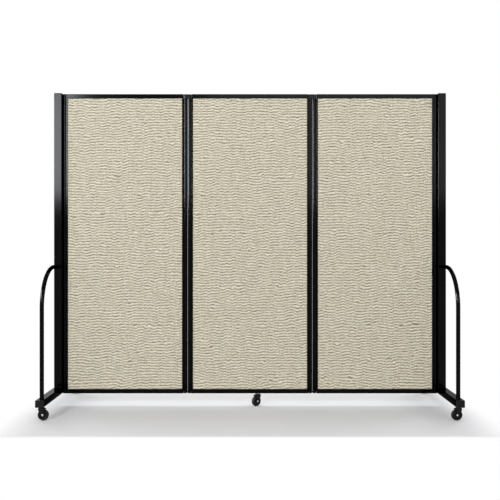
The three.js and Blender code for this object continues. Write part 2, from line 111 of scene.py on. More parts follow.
# Casters
TREAD_DROP = 0.003
TYRE_INNER = 0.0182
TYRE_EDGE = 0.0008
HUB_OUTER = 0.0180
RIM_INNER = 0.0158
RIM_STEP = 0.0004
DISH_DEPTH = 0.0024
DISH_SLOPE = 0.0012
BOSS_RADIUS = 0.0072
AXLE_BORE = 0.0033
AXLE_RADIUS = 0.003
AXLE_HEAD_RADIUS = 0.004
AXLE_HEAD_EDGE = 0.0008
AXLE_HEAD_CROWN = 0.0012
LEG_THICKNESS = 0.002
LEG_GAP = 0.0006
SEAT_GAP = 0.0003
WHEEL_HALF = 0.0085
HUB_HALF = 0.0088
LEG_EYE_RADIUS = 0.0075
LEG_REAR_ANGLE = math.radians(80)
HOOD_GAP = 0.0012
HOOD_LIP = 0.0011
HOOD_FRONT_ANGLE = math.radians(135)
HOOD_REAR_ANGLE = math.radians(66)
HOOD_HALF_LENGTH = 0.0115
HOOD_SHOULDER = 0.0046
FORK_EDGE = 0.0006
FORK_EDGE_SEGMENTS = 3
FORK_EDGE_ANGLE = math.radians(40)
CUP_RADIUS = 0.0122
CUP_HEIGHT = 0.0052
CUP_CHAMFER = 0.0014
NECK_RADIUS = 0.0086
STEM_RADIUS = 0.0051
STEM_LENGTH = 0.0145

# Cloth
CLOTH_THICKNESS = 0.0006
RIDGE_HEIGHT = 0.0007
RIDGE_PITCH = 0.0135
CLOTH_COLUMN = 0.006
CLOTH_ROW = 0.0027
CLOTH_HEM = 0.012
# Cells of the noise's table, each way, before it repeats
NOISE_CELLS = 256
# Noises that shift the ridges, in pitches: strength, and a cell's size across and up
DRIFTS = ((0.20, 0.045, 0.22), (0.20, 0.020, 0.14), (0.22, 0.0085, 0.025))
# Lines along which the ridges break off and go on, shifted
FAULT_CELL = (0.026, 0.09)
FAULT_SHIFT = 0.4
FAULT_SHARPNESS = 22
FAULT_LEVEL = 0.22
# The cloth's middle level, the depth of its ridges, which comes and goes, and a fine grain
CREST_MIDDLE = 0.53
DEPTH_CELL = (0.0085, 0.011)
DEPTH_MEAN = 0.72
DEPTH_RANGE = 0.66
GRAIN_CELL = (0.0075, 0.006)
GRAIN_RANGE = 0.06
INSIDE_CREST = 0.5
PANEL_SEEDS = {"left": 7, "middle": 107, "right": 207}
REAR_SEED_STEP = 50

# Round forms
CORNER_STEPS = 4
ARC_STEPS = 8
FULL_STEPS = 48
HOOP_STEPS = 28
DOME_STEPS = 6
LINK_STEPS = 20
TREAD_STEPS = 14
EYE_STEPS = 24
LIP_STEPS = 3
CUP_EDGE_STEPS = 5
PIN_BORE_SIDES = 24
ROUND_SIDES = 32
AXLE_SIDES = 40
WHEEL_SIDES = 64
SHARP_ANGLE = math.radians(32)
QUARTER = math.pi / 2
TURN = 2 * math.pi

SIDES = ("left", "right")
PANELS = ("left", "middle", "right")
# Each stile's panel and side, and the hinge at its edge
STILES = (
    ("left", "left", None),
    ("left", "right", "left_hinge"),
    ("middle", "left", "left_hinge"),
    ("middle", "right", "right_hinge"),
    ("right", "left", "right_hinge"),
    ("right", "right", None),
)
CASTERS = (
    "left_front_caster",
    "left_rear_caster",
    "right_front_caster",
    "right_rear_caster",
    "middle_caster",
)
# The endings of the names of the CAD nodes that are kept, with their finish
KEPT = {"core_board": "core_board", "rod": "bright_steel", "socket": "bright_steel"}


# Node helpers
def material(name):
    made = bpy.data.materials.new(name)
    made.use_nodes = True
    made.node_tree.nodes.clear()
    return made, made.node_tree


def node(tree, kind, inputs=None, **settings):
    made = tree.nodes.new(kind)
    for key, value in settings.items():
        setattr(made, key, value)
    for key, value in (inputs or {}).items():
        socket = made.inputs[key]
        if isinstance(value, bpy.types.NodeSocket):
            tree.links.new(value, socket)
        else:
            socket.default_value = value
    return made


def shader(tree, **inputs):
    """The surface shader, linked to the output."""
    named = {key.replace("_", " "): value for key, value in inputs.items()}
    surface = node(tree, "ShaderNodeBsdfPrincipled", named).outputs["BSDF"]
    node(tree, "ShaderNodeOutputMaterial", {"Surface": surface})


def own_coordinates(tree):
    return node(tree, "ShaderNodeTexCoord").outputs["Object"]


def noise_texture(tree, vector, scale, detail=2.0, roughness=0.5):
    inputs = {"Vector": vector, "Scale": scale, "Detail": detail, "Roughness": roughness}
    return node(tree, "ShaderNodeTexNoise", inputs).outputs["Fac"]


def stretched(tree, vector, scale):
    return node(tree, "ShaderNodeMapping", {"Vector": vector, "Scale": scale}).outputs["Vector"]


def wave_texture(tree, vector, scale, direction):
    inputs = {
        "Vector": vector,
        "Scale": scale,
        "Distortion": 1.2,
        "Detail": 1.0,
        "Detail Scale": 2.0,
    }
    made = node(tree, "ShaderNodeTexWave", inputs, wave_type="BANDS", bands_direction=direction)
    return made.outputs["Fac"]


def ramp(tree, value, *stops):
    made = node(tree, "ShaderNodeValToRGB", {"Fac": value})
    elements = made.color_ramp.elements
    while len(elements) < len(stops):
        elements.new(1.0)
    for element, (place, colour) in zip(elements, stops):
        element.position = place
        element.color = (*colour, 1.0)
    return made.outputs["Color"]


def scaled(tree, value, low, high, start=0.0, end=1.0):
    made = node(tree, "ShaderNodeMapRange", {
        "Value": value, "From Min": start, "From Max": end, "To Min": low, "To Max": high,
    })
    return made.outputs["Result"]


def combined_values(tree, operation, first, second):
    made = node(tree, "ShaderNodeMath", {0: first, 1: second}, operation=operation)
    return made.outputs["Value"]


def bump(tree, height, strength, distance, normal=None):
    inputs = {"Height": height, "Strength": strength, "Distance": distance}
    if normal is not None:
        inputs["Normal"] = normal
    return node(tree, "ShaderNodeBump", inputs).outputs["Normal"]


# Finishes
def black_metal():
    """Satin black paint on metal: fine orange peel, with faint rubbed patches."""
    made, tree = material("black_metal")
    place = own_coordinates(tree)
    peel = noise_texture(tree, place, scale=900.0, detail=2.0)
    rubbed = noise_texture(tree, place, scale=7.0, detail=4.0, roughness=0.6)
    paint = ramp(
        tree,
        rubbed,
        (0.35, (0.0052, 0.0053, 0.0056)),
        (0.7, (0.0064, 0.0065, 0.0068)),
    )
    shader(
        tree,
        Base_Color=paint,
        Metallic=1.0,
        Specular_Tint=(0.4, 0.4, 0.4, 1.0),
        Roughness=scaled(tree, rubbed, low=0.10, high=0.15, start=0.3, end=0.7),
        Normal=bump(tree, peel, strength=0.06, distance=0.0002),
    )
    return made


def black_plastic():
    """Moulded black plastic with a fine grain."""
    made, tree = material("black_plastic")
    place = own_coordinates(tree)
    grain = noise_texture(tree, place, scale=2600.0, detail=3.0, roughness=0.6)
    cloud = noise_texture(tree, place, scale=40.0, detail=3.0)
    plastic = ramp(
        tree,
        cloud,
        (0.3, (0.0040, 0.0041, 0.0044)),
        (0.75, (0.0070, 0.0071, 0.0075)),
    )
    shader(
        tree,
        Base_Color=plastic,
        Roughness=scaled(tree, cloud, low=0.30, high=0.42, start=0.3, end=0.7),
        Specular_IOR_Level=0.13,
        Normal=bump(tree, grain, strength=0.12, distance=0.0002),
    )
    return made


def rubber():
    """Tyre of a wheel: dense, dull black."""
    made, tree = material("wheel_rubber")
    place = own_coordinates(tree)
    speck = noise_texture(tree, place, scale=1500.0, detail=4.0, roughness=0.7)
    dust = noise_texture(tree, place, scale=90.0, detail=4.0, roughness=0.6)
    tread = ramp(
        tree,
        dust,
        (0.35, (0.0050, 0.0050, 0.0052)),
        (0.8, (0.012, 0.0118, 0.0115)),
    )
    shader(
        tree,
        Base_Color=tread,
        Roughness=scaled(tree, speck, low=0.42, high=0.6, start=0.3, end=0.7),
        Specular_IOR_Level=0.15,
        Normal=bump(tree, speck, strength=0.15, distance=0.0003),
    )
    return made


def bright_steel():
    """Turned, zinc-plated steel with fine marks round it."""
    made, tree = material("bright_steel")
    place = own_coordinates(tree)
    marks = noise_texture(tree, place, scale=700.0, detail=5.0, roughness=0.7)
    shader(
        tree,
        Base_Color=ramp(tree, marks, (0.3, (0.52, 0.53, 0.54)), (0.7, (0.70, 0.70, 0.69))),
        Metallic=1.0,
        Roughness=scaled(tree, marks, low=0.2, high=0.34, start=0.3, end=0.7),
        Normal=bump(tree, marks, strength=0.05, distance=0.0002),
    )
    return made


def core_board():
    """Pale pulp board with flecks."""
    made, tree = material("core_board")
    place = own_coordinates(tree)
    fleck = noise_texture(tree, place, scale=260.0, detail=6.0, roughness=0.75)
    shader(
        tree,
        Base_Color=ramp(tree, fleck, (0.3, (0.34, 0.24, 0.13)), (0.7, (0.52, 0.41, 0.26))),
        Roughness=0.9,
        Normal=bump(tree, fleck, strength=0.3, distance=0.0004),
    )
    return made


def screen_fabric():
    """Cream cloth over a fine plain weave, with painted shade in the valleys of its ridges and a
    painted highlight on their crests.
    """
    made, tree = material("screen_fabric")
    place = own_coordinates(tree)
    height = node(tree, "ShaderNodeAttribute", attribute_name="crest").outputs["Fac"]
    along_weft = stretched(tree, place, (90.0, 90.0, 420.0))
    weft_yarn = noise_texture(tree, along_weft, scale=1.0, detail=3.0, roughness=0.6)
    along_warp = stretched(tree, place, (320.0, 320.0, 16.0))
    warp_yarn = noise_texture(tree, along_warp, scale=1.0, detail=2.0)
    mottle = noise_texture(tree, place, scale=300.0, detail=1.0)
    warp = wave_texture(tree, place, 150.0, "X")
    weft = wave_texture(tree, place, 170.0, "Z")
    weave = combined_values(tree, "MAXIMUM", warp, weft)
    # Each raises or lowers the height by up to its reach
    for value, reach, start in (
        (weft_yarn, 0.12, 0.3),
        (warp_yarn, 0.08, 0.3),
        (mottle, 0.22, 0.3),
        (weave, 0.10, 0.4),
    ):
        change = scaled(tree, value, low=-reach, high=reach, start=start, end=1 - start)
        height = combined_values(tree, "ADD", height, change)
    # The ridge height paints shade into the valleys and a highlight onto the crests; the yarns,
    # mottle and weave add the cloth's own pattern
    ridge_shaded_tone = ramp(
        tree,
        height,
        (0.0, (0.180, 0.161, 0.113)),
        (0.45, (0.470, 0.428, 0.328)),
        (1.0, (0.880, 0.827, 0.674)),
    )
    along_hue = stretched(tree, place, (150.0, 150.0, 380.0))
    hue = noise_texture(tree, along_hue, scale=1.0, detail=1.0)
    tint = ramp(tree, hue, (0.3, (1.08, 1.00, 0.80)), (0.7, (0.92, 1.00, 1.20)))
    colour = node(tree, "ShaderNodeVectorMath", {0: ridge_shaded_tone, 1: tint}, operation="MULTIPLY")
    shader(
        tree,
        Base_Color=colour.outputs["Vector"],
        Roughness=0.95,
        Specular_IOR_Level=0.2,
        Sheen_Weight=0.1,
        Sheen_Roughness=0.5,
        Normal=bump(
            tree,
            weave,
            strength=0.35,
            distance=0.0004,
            normal=bump(tree, mottle, strength=0.35, distance=0.0006),
        ),
    )
    return made


FINISHES = {
    "black_frame": black_metal(),
    "black_plastic": black_plastic(),
    "screen_fabric": screen_fabric(),
    "core_board": core_board(),
    "bright_steel": bright_steel(),
    "caster_tread": rubber(),
}


# Outlines, as lists of (x, y)
def arc(x, y, radius, start, end, steps=ARC_STEPS):
    angles = [start + (end - start) * i / steps for i in range(steps + 1)]
    return [(x + radius * math.cos(a), y + radius * math.sin(a)) for a in angles]


def circle(x, y, radius, steps=FULL_STEPS):
    return arc(x, y, radius, 0.0, TURN, steps)[:-1]


def quarter_turn(steps):
    """The angles of a quarter turn, from start to end."""
    return [QUARTER * step / steps for step in range(steps + 1)]


def rounded_rectangle(width, height, radius):
    x, y = width / 2 - radius, height / 2 - radius
    outline = []
    for corner_x, corner_y, quarter in ((x, -y, 3), (x, y, 0), (-x, y, 1), (-x, -y, 2)):
        start = quarter * QUARTER
        outline += arc(corner_x, corner_y, radius, start, start + QUARTER)
    return outline


# Closed forms, as bmeshes
def prism(loops, low, high):
    """A bar of one section, given by its outline and holes in x and y, between two heights."""
    form = bmesh.new()
    ends = [[[form.verts.new((x, y, z)) for x, y in loop] for loop in loops] for z in (low, high)]
    for lower, upper in zip(*ends):
        for i, corner in enumerate(lower):
            j = (i + 1) % len(lower)
            form.faces.new((corner, lower[j], upper[j], upper[i]))
    triangles = tessellate_polygon([[Vector((x, y, 0.0)) for x, y in loop] for loop in loops])
    for end in ends:
        corners = [v for ring in end for v in ring]
        for triangle in triangles:
            form.faces.new([corners[i] for i in triangle])
    bmesh.ops.recalc_face_normals(form, faces=form.faces)
    return form


def skinned(rings, closed=False):
    """Rings of points joined in order; the ends are capped, or joined to each other if closed."""
    form = bmesh.new()
    made = [[form.verts.new(p) for p in ring] for ring in rings]
    pairs = list(zip(made, made[1:]))
    if closed:
        pairs.append((made[-1], made[0]))
    for first, second in pairs:
        for i in range(len(first)):
            j = (i + 1) % len(first)
            form.faces.new((first[i], first[j], second[j], second[i]))
    if not closed:
        form.faces.new(made[0])
        form.faces.new(made[-1])
    bmesh.ops.recalc_face_normals(form, faces=form.faces)
    return form


def lathed(profile, sides=FULL_STEPS, closed=False):
    """A form turned round the upright axis, from pairs of radius and height, all off the axis."""
    rings = []
    for radius, height in profile:
        rings.append([(x, y, height) for x, y in circle(0.0, 0.0, radius, sides)])
    return skinned(rings, closed)


def mesh_of(name, form):
    """The form as a mesh. The form itself is used up."""
    mesh = bpy.data.meshes.new(name)
    form.to_mesh(mesh)
    form.free()
    return mesh


def placed(name, data):
    """A new object in the scene."""
    made = bpy.data.objects.new(name, data)
    bpy.context.scene.collection.objects.link(made)
    return made


def combined(first, second, operation="UNION"):
    """Two closed forms joined, or the first cut by the second. Both are used up."""
    objects = [placed("working", mesh_of("working", form)) for form in (first, second)]
    modifier = objects[0].modifiers.new("cut", "BOOLEAN")
    modifier.object = objects[1]
    modifier.operation = operation
    modifier.solver = "EXACT"
    result = bmesh.new()
    result.from_object(objects[0], bpy.context.evaluated_depsgraph_get())
    for made in objects:
        mesh = made.data
        bpy.data.objects.remove(made)
        bpy.data.meshes.remove(mesh)
    return result


def copy_of(form, matrix):
    made = form.copy()
    made.transform(matrix)
    return made


def softened(form):
    """A fork's form with its sharp edges rounded over."""
    bmesh.ops.bevel(
        form,
        geom=[edge for edge in form.edges if edge.calc_face_angle(0.0) > FORK_EDGE_ANGLE],
        offset=FORK_EDGE,
        segments=FORK_EDGE_SEGMENTS,
        profile=0.5,
        affect="EDGES",
        clamp_overlap=True,
    )
    return form


def box_form(low, high):
    (x0, y0, z0), (x1, y1, z1) = low, high
    return prism([[(x0, y0), (x1, y0), (x1, y1), (x0, y1)]], z0, z1)


def move(x=0.0, y=0.0, z=0.0):
    return Matrix.Translation((x, y, z))


def turn(angle, axis):
    return Matrix.Rotation(angle, 4, axis)


def piece(name, form, body, slot, replaced=()):
    """A finished piece of the object, from a form that stands where the piece does."""
    mesh = mesh_of(name, form)
    mesh.shade_smooth()
    mesh.set_sharp_from_angle(angle=SHARP_ANGLE)
    mesh.materials.append(FINISHES[slot])
    made = placed(name, mesh)
    # Keeps the flats flat in their shading, next to rounded corners
    made.modifiers.new("flat_shading", "WEIGHTED_NORMAL").keep_sharp = True
    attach(made, body)
    if replaced:
        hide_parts(*replaced)


# Panel frames
def stile_section(width, half):
    """Board channel, flat, crease and barrel, from the cloth's edge outwards."""
    centre = width - half
    crease_y = half - CREASE_DEPTH
    crease_angle = math.atan2(crease_y, -math.sqrt(half**2 - crease_y**2))
    flat_end = FLAT_WIDTH - FLAT_CHAMFER
    outline = [
        (0.0, CHANNEL_HALF), (STILE_CHANNEL, CHANNEL_HALF),
        (STILE_CHANNEL, -CHANNEL_HALF), (0.0, -CHANNEL_HALF), (0.0, -half),
    ]
    outline += arc(flat_end, FLAT_CHAMFER - half, FLAT_CHAMFER, -QUARTER, 0.0, CORNER_STEPS)
    outline.append((FLAT_WIDTH + CREASE_WIDTH / 3, -crease_y))
    outline += arc(centre, 0.0, half, -crease_angle, crease_angle, FULL_STEPS)
    outline.append((FLAT_WIDTH + CREASE_WIDTH / 3, crease_y))
    outline += arc(flat_end, half - FLAT_CHAMFER, FLAT_CHAMFER, 0.0, QUARTER, CORNER_STEPS)
    outline.append((0.0, half))
    return [outline, circle(centre, 0.0, BARREL_BORE, ROUND_SIDES)]


def plug_form(radius, shank, rise, depth):
    """A domed plug whose shank goes into a hole; it faces up, or down where rise is negative."""
    shaft = shank * PLUG_SHAFT_SHARE
    profile = [(shank * PLUG_TIP_SHARE, -depth), (shaft, -depth * PLUG_TIP_START)]
    profile += [(shaft, 0.0), (radius, 0.0)]
    for angle in quarter_turn(DOME_STEPS)[1:-1]:
        lift = PLUG_EDGE_SHARE + (1 - PLUG_EDGE_SHARE) * math.sin(angle)
        profile.append((radius * math.cos(angle), rise * lift))
    return lathed(profile, ROUND_SIDES)


def make_stile(panel, side, hinge):
    name = f"{panel}_{side}_stile"
    low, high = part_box(name)
    width, half = high.x - low.x, (high.y - low.y) / 2
    form = prism(stile_section(width, half), low.z, high.z)
    if hinge:
        start = FLAT_WIDTH + CREASE_WIDTH / 2
        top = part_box(f"{hinge}_top_link")[0].z - RUNNING_GAP
        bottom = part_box(f"{hinge}_bottom_link")[1].z + RUNNING_GAP
        above = box_form((start, -2 * half, top), (2 * width, 2 * half, high.z + half))
        below = box_form((start, -2 * half, low.z - half), (2 * width, 2 * half, bottom))
        form = combined(combined(form, above, "DIFFERENCE"), below, "DIFFERENCE")
    else:
        centre = width - half
        x = high.x - centre if side == "left" else low.x + centre
        for place, z, facing in (("top", high.z, 1), ("bottom", low.z, -1)):
            rise, depth = BORE_PLUG_RISE * facing, BORE_PLUG_DEPTH * facing
            plug = plug_form(BORE_PLUG_RADIUS, BARREL_BORE, rise, depth)
            plug.transform(move(x, 0.0, z))
            piece(f"{name}_{place}_plug", plug, f"{panel}_panel", "black_plastic")
    if side == "left":
        form.transform(turn(math.pi, "Z"))
        form.transform(move(high.x))
    else:
        form.transform(move(low.x))
    piece(f"{name}_bar", form, f"{panel}_panel", "black_frame", [name])


def rail_section(height, half):
    """A channel for the board over a closed chamber, with the channel upwards."""
    floor = height - RAIL_CHANNEL
    bevel = height - LIP_BEVEL_HEIGHT
    lip = half - LIP_BEVEL_DEPTH
    outline = arc(half - RAIL_CORNER, RAIL_CORNER, RAIL_CORNER, -QUARTER, 0.0)
    outline += [(half, bevel), (lip, height), (CHANNEL_HALF, height), (CHANNEL_HALF, floor)]
    outline += [(-CHANNEL_HALF, floor), (-CHANNEL_HALF, height), (-lip, height), (-half, bevel)]
    outline += arc(RAIL_CORNER - half, RAIL_CORNER, RAIL_CORNER, math.pi, math.pi + QUARTER)
    inner = half - RAIL_WALL
    roof = floor - RAIL_WALL
    chamber = [(-inner, RAIL_WALL), (inner, RAIL_WALL), (inner, roof), (-inner, roof)]
    return [outline, chamber]


# Lays a section's own x, y and height along the part's Y, Z and X
SECTION_ALONG_X = Matrix(((0, 0, 1, 0), (1, 0, 0, 0), (0, 1, 0, 0), (0, 0, 0, 1)))


def make_rail(panel, place):
    name = f"{panel}_{place}_rail"
    low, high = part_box(name)
    form = prism(rail_section(high.z - low.z, (high.y - low.y) / 2), low.x, high.x)
    form.transform(SECTION_ALONG_X)
    if place == "top":
        form.transform(turn(math.pi, "Y"))
        form.transform(move(low.x + high.x, 0.0, high.z))
    else:
        form.transform(move(0.0, 0.0, low.z))
    if panel == "middle" and place == "bottom":
        form = combined(form, socket_hole("middle"), "DIFFERENCE")
    piece(f"{name}_bar", form, f"{panel}_panel", "black_frame", [name])


def socket_hole(caster):
    """A round cutter for the hole that holds a caster's socket."""
    low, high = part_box(f"{caster}_caster_socket")
    hole = circle((low.x + high.x) / 2, (low.y + high.y) / 2, SOCKET_HOLE, ROUND_SIDES)
    return prism([hole], low.z - SOCKET_HOLE, low.z + SOCKET_HOLE)


# Cloth
def value_noise(u, v, seed):
    """Smooth noise from -1 to 1 at the points u, v, on a grid of unit cells."""
    grid = np.random.default_rng(seed).uniform(-1.0, 1.0, (NOISE_CELLS, NOISE_CELLS))
    iu, iv = np.floor(u).astype(int), np.floor(v).astype(int)
    fu, fv = u - iu, v - iv
    su, sv = fu * fu * (3 - 2 * fu), fv * fv * (3 - 2 * fv)
    left, right = iu % NOISE_CELLS, (iu + 1) % NOISE_CELLS
    low, high = iv % NOISE_CELLS, (iv + 1) % NOISE_CELLS
    lower = grid[left, low] * (1 - su) + grid[right, low] * su
    upper = grid[left, high] * (1 - su) + grid[right, high] * su
    return lower * (1 - sv) + upper * sv


def ridge_field(across, up, seed):
    """How high the cloth stands, from 0 in its deepest valleys to 1 on its crests.

    The ridges run across, drift up and down, break off at faults, and fade in and out.
    """
    def noise(cell, step):
        return value_noise(across / cell[0], up / cell[1], seed + step)

    drift = 0.0
    for step, (strength, *cell) in enumerate(DRIFTS):
        drift = drift + strength * noise(cell, step)
    fault = noise(FAULT_CELL, 3)
    drift = drift + FAULT_SHIFT / (1 + np.exp(-FAULT_SHARPNESS * (fault - FAULT_LEVEL)))
    ridge = np.cos(TURN * (up / RIDGE_PITCH + drift)) / 2
    depth = DEPTH_MEAN + DEPTH_RANGE * noise(DEPTH_CELL, 4)
    grain = GRAIN_RANGE * noise(GRAIN_CELL, 5)
    return np.clip(CREST_MIDDLE + ridge * depth + grain, 0.0, 1.0)


def wrap_faces(rows, around):
    """The quads of a closed wrap of rows of points, and of its rims and inner side.

    The inner side's bottom row and top row of points follow the wrap's own.
    """
    column = np.arange(around)
    following = (column + 1) % around
    start = np.arange(rows - 1)[:, None] * around
    above = start + around
    faces = np.stack([start + column, start + following, above + following, above + column], axis=2)
    last, bottom, top = (rows - 1) * around, rows * around, (rows + 1) * around
    rims = [
        np.stack([bottom + following, bottom + column, top + column, top + following], axis=1),
        np.stack([following, column, bottom + column, bottom + following], axis=1),
        np.stack([last + column, last + following, top + following, top + column], axis=1),
    ]
    return np.concatenate([faces.reshape(-1, 4), *rims]).tolist()


def make_fabric(panel, seed):
    """Cloth wrapped round the core board, with its ridges running across."""
    name = f"{panel}_fabric"
    board_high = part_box(f"{panel}_core_board")[1]
    low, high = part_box(name)
    half_width = (high.x - low.x) / 2
    centre = (high.x + low.x) / 2
    inner = board_high.y + BOARD_FACE_GAP
    side = board_high.x + BOARD_FACE_GAP - centre
    across = np.linspace(-side, side, round(2 * side / CLOTH_COLUMN) + 1)
    up = np.linspace(low.z, high.z, round((high.z - low.z) / CLOTH_ROW) + 1)
    edge_fade = np.minimum(1.0, (side - np.abs(across)) / CLOTH_HEM)
    end_fade = np.minimum(1.0, np.minimum(up - low.z, high.z - up) / CLOTH_HEM)
    hem = end_fade[:, None] * edge_fade[None, :]
    grid_across, grid_up = np.meshgrid(across, up)
    points, crests = [], []
    for facing, face_seed in ((-1, seed), (1, seed + REAR_SEED_STEP)):
        field = ridge_field(grid_across * facing + half_width, grid_up, face_seed)
        height = inner + CLOTH_THICKNESS + RIDGE_HEIGHT * field * hem
        points.append(np.stack([centre - grid_across * facing, height * facing, grid_up], axis=2))
        crests.append(field)
    outer = np.concatenate(points, axis=1)
    rows, around = outer.shape[:2]
    inside = outer[[0, -1]].copy()
    inside[:, :, 1] = np.where(inside[:, :, 1] < 0, -inner, inner)
    vertices = np.concatenate([outer.reshape(-1, 3), inside.reshape(-1, 3)])
    mesh = bpy.data.meshes.new(name)
    mesh.from_pydata(vertices.tolist(), [], wrap_faces(rows, around))
    # The ridge height goes to the cloth's colour, where it paints shade in the valleys and a
    # highlight on the crests
    crest = np.append(np.concatenate(crests, axis=1), np.full(2 * around, INSIDE_CREST))
    attribute = mesh.attributes.new("crest", "FLOAT", "POINT")
    attribute.data.foreach_set("value", crest.astype(np.float32))
    mesh.shade_smooth()
    mesh.materials.append(FINISHES["screen_fabric"])
    made = placed(f"{panel}_cloth", mesh)
    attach(made, f"{panel}_panel")
    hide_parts(name)


# End frames
def tube_loops(width, height):
    return [
        rounded_rectangle(width, height, TUBE_CORNER),
        rounded_rectangle(width - 2 * TUBE_WALL, height - 2 * TUBE_WALL, TUBE_CORNER - TUBE_WALL),
    ]


def cap_form(width, depth, thickness):
    """A crowned plate with a plug under it. The plate's underside is at height zero."""
    def ring(inset, radius, z):
        outline = rounded_rectangle(width - 2 * inset, depth - 2 * inset, radius)
        return [(x, y, z) for x, y in outline]

    rings = [
        ring(CAP_PLUG_INSET, CAP_ROUNDING, -CAP_PLUG_DEPTH),
        ring(CAP_PLUG_INSET, CAP_ROUNDING, 0.0),
        ring(0.0, TUBE_CORNER, 0.0),
    ]
    for angle in quarter_turn(CORNER_STEPS):
        inset = CAP_ROUNDING * (1 - math.cos(angle))
        rise = CAP_ROUNDING * math.sin(angle) * CAP_EDGE_SHARE
        rings.append(ring(inset, TUBE_CORNER - inset / 2, thickness - CAP_ROUNDING + rise))
    rings.append(ring(min(width, depth) / 4, TUBE_CORNER, thickness))
    return skinned(rings)


def hoop_form(side, foot, top, reach, end):
    """A round bar that rises from the base, bends a quarter turn and runs level to the post."""
    stations = [(reach, foot, 0.0)]
    for angle in quarter_turn(HOOP_STEPS):
        y = reach - HOOP_BEND + HOOP_BEND * math.cos(angle)
        z = top - HOOP_BEND + HOOP_BEND * math.sin(angle)
        stations.append((y, z, angle))
    stations.append((end, top, QUARTER))
    rings = []
    for y, z, angle in stations:
        ring = []
        for a, b in circle(0.0, 0.0, HOOP_RADIUS, ROUND_SIDES):
            ring.append((a, side * (y + b * math.cos(angle)), z + b * math.sin(angle)))
        rings.append(ring)
    return skinned(rings)


def bead(step):
    """A weld bead's outline, which swells and narrows from step to step."""
    ripple = WELD_RIPPLE * math.sin(step * TURN / RIPPLE_STEPS)
    return circle(0.0, 0.0, WELD_RADIUS * (1 + ripple), BEAD_SIDES)


def ring_weld(centre, first, second):
    """A rippled bead round a hoop whose section lies in the plane of two axes."""
    along = first.cross(second)
    rings = []
    for step, (a, b) in enumerate(circle(0.0, 0.0, 1.0, RING_WELD_STEPS)):
        outward = first * a + second * b
        rings.append([centre + outward * (HOOP_RADIUS + p) + along * q for p, q in bead(step)])
    return skinned(rings, closed=True)


def line_weld(start, end):
    """A rippled bead along X."""
    steps = round((end - start).length / WELD_STEP)
    rings = []
    for step in range(steps + 1):
        point = start.lerp(end, step / steps)
        rings.append([point + Vector((0.0, p, q)) for p, q in bead(step)])
    return skinned(rings)


# Lays a section's own x, y and height along the part's X, Z and Y, which mirrors the form
SECTION_ALONG_Y = Matrix(((1, 0, 0, 0), (0, 0, 1, 0), (0, 1, 0, 0), (0, 0, 0, 1)))


def make_post(name, body):
    low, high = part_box(f"{name}_post")
    x, width, depth = (low.x + high.x) / 2, high.x - low.x, high.y - low.y
    post = prism(tube_loops(width, depth), low.z, high.z)
    post.transform(move(x))
    piece(f"{name}_post_tube", post, body, "black_frame", [f"{name}_post"])
    cap = cap_form(width, depth, POST_CAP_THICKNESS)
    cap.transform(move(x, 0.0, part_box(f"{name}_post_cap")[1].z - POST_CAP_THICKNESS))
    piece(f"{name}_post_lid", cap, body, "black_plastic", [f"{name}_post_cap"])
    side = math.copysign(1.0, x)
    shank = SIDE_PLUG_RADIUS * SIDE_PLUG_SHANK_SHARE
    for place, share in SIDE_PLUG_PLACES.items():
        plug = plug_form(SIDE_PLUG_RADIUS, shank, SIDE_PLUG_RISE, TUBE_WALL)
        plug.transform(turn(side * QUARTER, "Y"))
        plug.transform(move(x + side * width / 2, 0.0, low.z + share * (high.z - low.z)))
        piece(f"{name}_{place}_side_plug", plug, body, "black_plastic")


def make_base(name, body):
    low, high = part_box(f"{name}_base_tube")
    x, width, height = (low.x + high.x) / 2, high.x - low.x, high.z - low.z
    middle = (high.z + low.z) / 2
    base = prism(tube_loops(width, height), low.y, high.y)
    base.transform(SECTION_ALONG_Y)
    bmesh.ops.reverse_faces(base, faces=base.faces)
    base.transform(move(x, 0.0, middle))
    for end in ("front", "rear"):
        base = combined(base, socket_hole(f"{name}_{end}"), "DIFFERENCE")
    piece(f"{name}_base_bar", base, body, "black_frame", [f"{name}_base_tube"])
    for end, sign in (("front", -1), ("rear", 1)):
        node_name = f"{name}_base_{end}_cap"
        reach = max(abs(corner.y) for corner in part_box(node_name))
        cap = cap_form(width, height, BASE_CAP_THICKNESS)
        cap.transform(turn(-sign * QUARTER, "X"))
        cap.transform(move(x, sign * (reach - BASE_CAP_THICKNESS), middle))
        piece(f"{name}_base_{end}_lid", cap, body, "black_plastic", [node_name])


def make_hoops(name, body):
    post_low, post_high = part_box(f"{name}_post")
    x, depth = (post_low.x + post_high.x) / 2, post_high.y - post_low.y
    half_seam = (post_high.x - post_low.x) / 2 - TUBE_CORNER
    base_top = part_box(f"{name}_base_tube")[1].z
    right, up, away = Vector((1, 0, 0)), Vector((0, 0, 1)), Vector((0, 1, 0))
    for end, sign in (("front", -1), ("rear", 1)):
        node_name = f"{name}_{end}_hoop"
        low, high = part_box(node_name)
        reach = max(abs(low.y), abs(high.y)) - HOOP_RADIUS
        top = high.z - HOOP_RADIUS
        hoop = hoop_form(sign, base_top, top, reach, depth / 2)
        hoop.transform(move(x))
        piece(f"{name}_{end}_hoop_bar", hoop, body, "black_frame", [node_name])
        foot = ring_weld(Vector((x, sign * reach, base_top)), right, away)
        piece(f"{name}_{end}_foot_weld", foot, body, "black_frame")
        post_face = sign * depth / 2
        joint = ring_weld(Vector((x, post_face, top)), right, up)
        piece(f"{name}_{end}_post_weld", joint, body, "black_frame")
        seam_start = Vector((x - half_seam, post_face, base_top))
        seam_end = Vector((x + half_seam, post_face, base_top))
        piece(f"{name}_{end}_seam_weld", line_weld(seam_start, seam_end), body, "black_frame")


